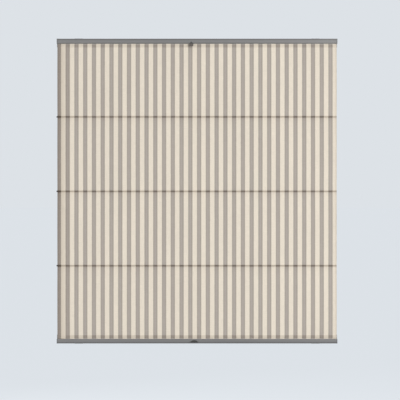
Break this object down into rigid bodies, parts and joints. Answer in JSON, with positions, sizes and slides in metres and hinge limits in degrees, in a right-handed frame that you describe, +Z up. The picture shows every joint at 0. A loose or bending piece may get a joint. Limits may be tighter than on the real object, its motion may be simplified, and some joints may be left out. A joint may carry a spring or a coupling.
{
  "type": "roman blind",
  "caption": "Tensioned roman blind: striped cloth with cross rods between two slim rails that slide on a window frame, each with a finger grip.",
  "frame": {"origin": "centre of the upper fixing plane, where the two upper shoes meet the window frame, halfway between their screws", "axes": "+X along the rails, to the right as the room sees the blind; +Y from the room towards the glass; +Z up"},
  "size_m": [1.0018, 0.0294, 1.087],
  "materials": {
    "rail": "satin anodised mid grey",
    "plastic_grey": "matt mid grey",
    "guide": "pale grey, slippery",
    "shoe": "matt mid grey",
    "grip": "satin dark grey",
    "carrier": "matt mid grey",
    "fabric": "woven, upright stripes of cream and taupe about 16 mm wide",
    "rod": "mill finish",
    "tip": "matt dark grey",
    "ring": "clear to pale grey"
  },
  "bodies": {
    "shoes": {"shoe_top_left": "shoe", "shoe_top_right": "shoe", "shoe_bottom_left": "shoe", "shoe_bottom_right": "shoe"},
    "top_rail": {"top_rail": "rail", "top_cap_left": "plastic_grey", "top_cap_right": "plastic_grey", "top_guide_left": "guide", "top_guide_right": "guide", "top_grip": "grip", "top_carrier": "carrier", "fabric": "fabric"},
    "bottom_rail": {"bottom_rail": "rail", "bottom_cap_left": "plastic_grey", "bottom_cap_right": "plastic_grey", "bottom_guide_left": "guide", "bottom_guide_right": "guide", "bottom_grip": "grip", "bottom_carrier": "carrier"},
    "rod_1": {"rod_1": "rod", "rod_1_tip_left": "tip", "rod_1_tip_right": "tip", "rod_1_ring_left": "ring", "rod_1_ring_right": "ring"},
    "rod_2": {"rod_2": "rod", "rod_2_tip_left": "tip", "rod_2_tip_right": "tip", "rod_2_ring_left": "ring", "rod_2_ring_right": "ring"},
    "rod_3": {"rod_3": "rod", "rod_3_tip_left": "tip", "rod_3_tip_right": "tip", "rod_3_ring_left": "ring", "rod_3_ring_right": "ring"}
  },
  "joints": [
    {"name": "top_rail_slide", "type": "slide", "parent": "shoes", "child": "top_rail", "axis": [0, 0, -1], "range_m": [0, 0.275], "deforming": ["fabric"]},
    {"name": "bottom_rail_slide", "type": "slide", "parent": "shoes", "child": "bottom_rail", "axis": [0, 0, 1], "range_m": [0, 0.675], "deforming": ["fabric"]},
    {"name": "rod_1_slide", "type": "slide", "parent": "shoes", "child": "rod_1", "axis": [0, 0, -1], "range_m": [0, 0.04]},
    {"name": "rod_2_slide", "type": "slide", "parent": "shoes", "child": "rod_2", "axis": [0, 0, 1], "range_m": [0, 0.2005]},
    {"name": "rod_3_slide", "type": "slide", "parent": "shoes", "child": "rod_3", "axis": [0, 0, 1], "range_m": [0, 0.4405]}
  ],
  "couplings": [
    {"joint": "rod_1_slide", "follows": "top_rail_slide", "ratio": 0.145},
    {"joint": "rod_2_slide", "follows": "bottom_rail_slide", "ratio": 0.2965},
    {"joint": "rod_3_slide", "follows": "bottom_rail_slide", "ratio": 0.652}
  ]
}
